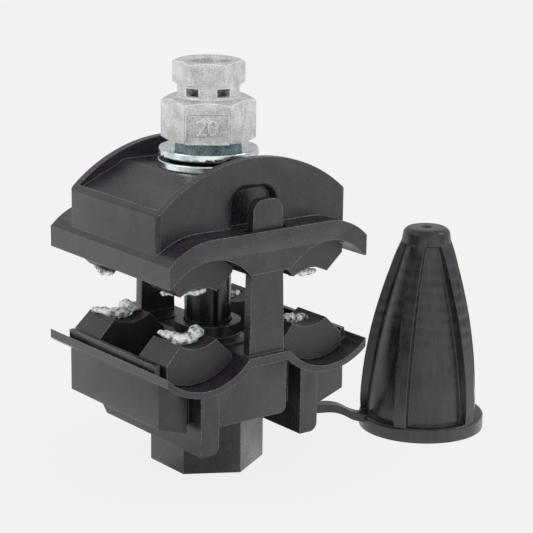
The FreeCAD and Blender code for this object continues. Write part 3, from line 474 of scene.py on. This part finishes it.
def smear(node, body, strings):
    """One half's grease: seeded lumps along its strings, joined and roughened."""
    chance = random.Random(node)
    bm = bmesh.new()
    for string in strings:
        for (x, y, z, r), (x2, y2, z2, r2) in zip(string, string[1:]):
            for step in range(LUMPS):
                t = step / LUMPS
                jolt = [chance.uniform(-JOLT, JOLT) for _ in range(3)]
                middle = Vector((x + (x2 - x) * t + jolt[0], y + (y2 - y) * t + jolt[1],
                                 z + (z2 - z) * t + jolt[2] * 0.7)) * MM
                radius = (r + (r2 - r) * t) * chance.uniform(0.75, 1.1) * MM
                turn = Matrix.Translation(middle) @ Matrix.Diagonal((1, 1, 0.75, 1))
                bmesh.ops.create_icosphere(bm, subdivisions=2, radius=radius, matrix=turn)
    piece = place_piece(bm, node + "_smear", body, "grease")
    skin = piece.modifiers.new("skin", "REMESH")
    skin.mode = "VOXEL"
    skin.voxel_size = SKIN
    skin.use_smooth_shade = True
    soft = piece.modifiers.new("soft", "SMOOTH")
    soft.iterations = 4
    crumbs = bpy.data.textures.new(node + "_crumbs", "CLOUDS")
    crumbs.noise_scale = CRUMB
    rough = piece.modifiers.new("crumbs", "DISPLACE")
    rough.texture = crumbs
    rough.texture_coords = "LOCAL"
    rough.strength = CRUMB_DEPTH
    rough.mid_level = 0.55
    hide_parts(node)


# The shear nut's face: a raised frame round a plain generic number

FACE_TURN = math.radians(232.8)
FACE_DISTANCE = 8.5 * MM
FACE_MIDDLE = NUT_BOTTOM + NUT_FOOT + 3.4 * MM
FRAME_WIDE = 8.6 * MM
FRAME_HIGH = 6.2 * MM
FRAME_LINE = 0.36 * MM
FRAME_RELIEF = 0.26 * MM
FRAME_ROUND = 0.12 * MM
NUMBER = "20"
NUMBER_SIZE = 4.6 * MM
NUMBER_RELIEF = 0.25 * MM
NUMBER_ROUND = 0.09 * MM


def face_matrix():
    """From the face's own plane (x along, y up, z out) to the nut's front face."""
    out = Vector((math.cos(FACE_TURN), math.sin(FACE_TURN), 0))
    along = Vector((-out.y, out.x, 0))
    place = Matrix((along, Vector((0, 0, 1)), out)).transposed().to_4x4()
    return Matrix.Translation(out * FACE_DISTANCE + Vector((0, 0, FACE_MIDDLE))) @ place


def bar(bm, x, y, width, height, matrix):
    """A raised bar on the face, half sunk in it."""
    size = Matrix.Diagonal((width, height, FRAME_RELIEF * 2, 1))
    bmesh.ops.create_cube(bm, size=1, matrix=matrix @ Matrix.Translation((x, y, 0)) @ size)


def face_frame(matrix):
    bm = bmesh.new()
    for x in (-FRAME_WIDE / 2, FRAME_WIDE / 2):
        bar(bm, x, 0, FRAME_LINE, FRAME_HIGH + FRAME_LINE, matrix)
    for y in (-FRAME_HIGH / 2, FRAME_HIGH / 2):
        bar(bm, 0, y, FRAME_WIDE + FRAME_LINE, FRAME_LINE, matrix)
    piece = place_piece(bm, "nut_face_frame", "nut", "nut_alloy")
    bevel = piece.modifiers.new("rounds", "BEVEL")
    bevel.width = FRAME_ROUND
    bevel.segments = 3


def face_number(matrix):
    text = bpy.data.curves.new("nut_number", "FONT")
    text.body = NUMBER
    text.size = NUMBER_SIZE
    text.extrude = NUMBER_RELIEF
    text.bevel_depth = NUMBER_ROUND
    text.align_x = "CENTER"
    text.align_y = "CENTER"
    holder = bpy.data.objects.new("nut_number_text", text)
    bpy.context.collection.objects.link(holder)
    bpy.context.view_layer.update()
    flat = bpy.data.meshes.new_from_object(holder)
    bpy.data.objects.remove(holder)
    bm = bmesh.new()
    bm.from_mesh(flat)
    bpy.data.meshes.remove(flat)
    bmesh.ops.transform(bm, matrix=matrix, verts=bm.verts)
    number = place_piece(bm, "nut_number", "nut", "nut_alloy")
    number.data.set_sharp_from_angle(angle=NUT_SHARP)


# Stage

PAPER = 0.888
FLOOR_TONE = 0.76
FLOOR_SIZE = 3
WHITE = (1, 1, 1, 1)
PAPER_COLOUR = (PAPER, PAPER, PAPER, 1)


def make_floor():
    """Paper for the camera, faintly shaded near the object; for reflections and bounce, a painted glow
    brighter towards the sides with painted shade near the object.
    """
    bm = bmesh.new()
    bmesh.ops.create_grid(bm, x_segments=1, y_segments=1, size=FLOOR_SIZE)
    mesh = bpy.data.meshes.new("floor")
    bm.to_mesh(mesh)
    bm.free()
    floor = bpy.data.objects.new("floor", mesh)
    bpy.context.collection.objects.link(floor)
    s = Surface("pale_floor")
    away = s.add("ShaderNodeVectorMath", {"operation": "LENGTH"}, [s.place], out="Value")
    lit = s.add("ShaderNodeBsdfDiffuse", None, {"Color": (FLOOR_TONE, FLOOR_TONE, FLOOR_TONE, 1)})
    plain = s.add("ShaderNodeEmission", None, {"Color": PAPER_COLOUR, "Strength": 1.0})
    seen = s.add("ShaderNodeMixShader", None, [s.between(away, 0.02, 0.08, 0.945, 1.0), lit, plain])
    # For other rays the floor glows: painted light, brighter towards three sides and dimmed by painted
    # shade near the object
    sides = s.lobes((130, 0.4, 0.98, 0.68), (2, 0.4, 0.98, 0.2), (306, 0.4, 0.98, 0.7))
    near_shade = s.between(away, 0.02, 0.09, 0.82, 1.0) * s.between(away, 0.1, 0.4, 1.0, 0.85)
    glow = s.add("ShaderNodeEmission", None, {"Color": WHITE, "Strength": (sides + 0.62) * near_shade})
    camera_ray = s.add("ShaderNodeLightPath", out="Is Camera Ray")
    blend = s.add("ShaderNodeMixShader", None, [camera_ray, glow, seen])
    s.add("ShaderNodeOutputMaterial", None, [blend])
    mesh.materials.append(s.material)


def make_world():
    """Paper for the camera; for everything else a white tent, brighter on three sides."""
    s = Surface("studio", "worlds", "Generated")
    height = s.height()
    sides = s.lobes((130, 0.4, 0.98, 0.4), (2, 0.4, 0.98, 0.15), (246, 0.3, 0.98, 0.85))
    level = s.between(height, 0.0, 0.9, 1.0, 0.3) * sides
    glow = level + s.between(height, 0.35, 0.95) * 0.12 + 0.54
    camera_ray = s.add("ShaderNodeLightPath", out="Is Camera Ray")
    tent = s.add("ShaderNodeBackground", None, {"Color": WHITE, "Strength": glow})
    paper = s.add("ShaderNodeBackground", None, {"Color": PAPER_COLOUR, "Strength": 1.0})
    blend = s.add("ShaderNodeMixShader", None, [camera_ray, tent, paper])
    s.add("ShaderNodeOutputWorld", None, [blend])
    bpy.context.scene.world = s.material


def softbox(name, azimuth, elevation, distance, size, watts):
    """A square area light aimed at the middle of the object."""
    a, e = math.radians(azimuth), math.radians(elevation)
    way = Vector((math.cos(a) * math.cos(e), math.sin(a) * math.cos(e), math.sin(e)))
    data = bpy.data.lights.new(name, "AREA")
    data.shape = "SQUARE"
    data.size = size
    data.energy = watts
    lamp = bpy.data.objects.new(name, data)
    bpy.context.collection.objects.link(lamp)
    aim = (-way).to_track_quat("-Z", "Y").to_matrix().to_4x4()
    lamp.matrix_world = Matrix.Translation(TARGET + way * distance) @ aim


make_world()
make_floor()
softbox("left_softbox", 165, 35, 0.7, 0.3, 1.2)
softbox("right_softbox", 330, 40, 0.8, 0.3, 1.0)

bpy.context.scene.view_settings.view_transform = "Standard"

# Millimetres of round on each piece's edges

ROUNDS = {
    "shear_nut": 0.45,
    "cupped_washer": 0.3,
    "flat_washer": 0.3,
    "bolt_sleeve": 0.1,
    "lower_body": 0.22,
    "upper_body": 0.26,
    "end_cap": 0.2,
}
SMALL_ROUND = 0.14

for node in frame["nodes"]:
    width = ROUNDS.get(node, SMALL_ROUND) * MM
    if node in GREASE:
        smear(node, *GREASE[node])
    elif node == "end_cap":
        rounded(node, width, reshape=fuller_cap)
    elif node == "shear_nut":
        rounded(node, width, sharp=NUT_SHARP)
    else:
        rounded(node, width)
face = face_matrix()
face_frame(face)
face_number(face)
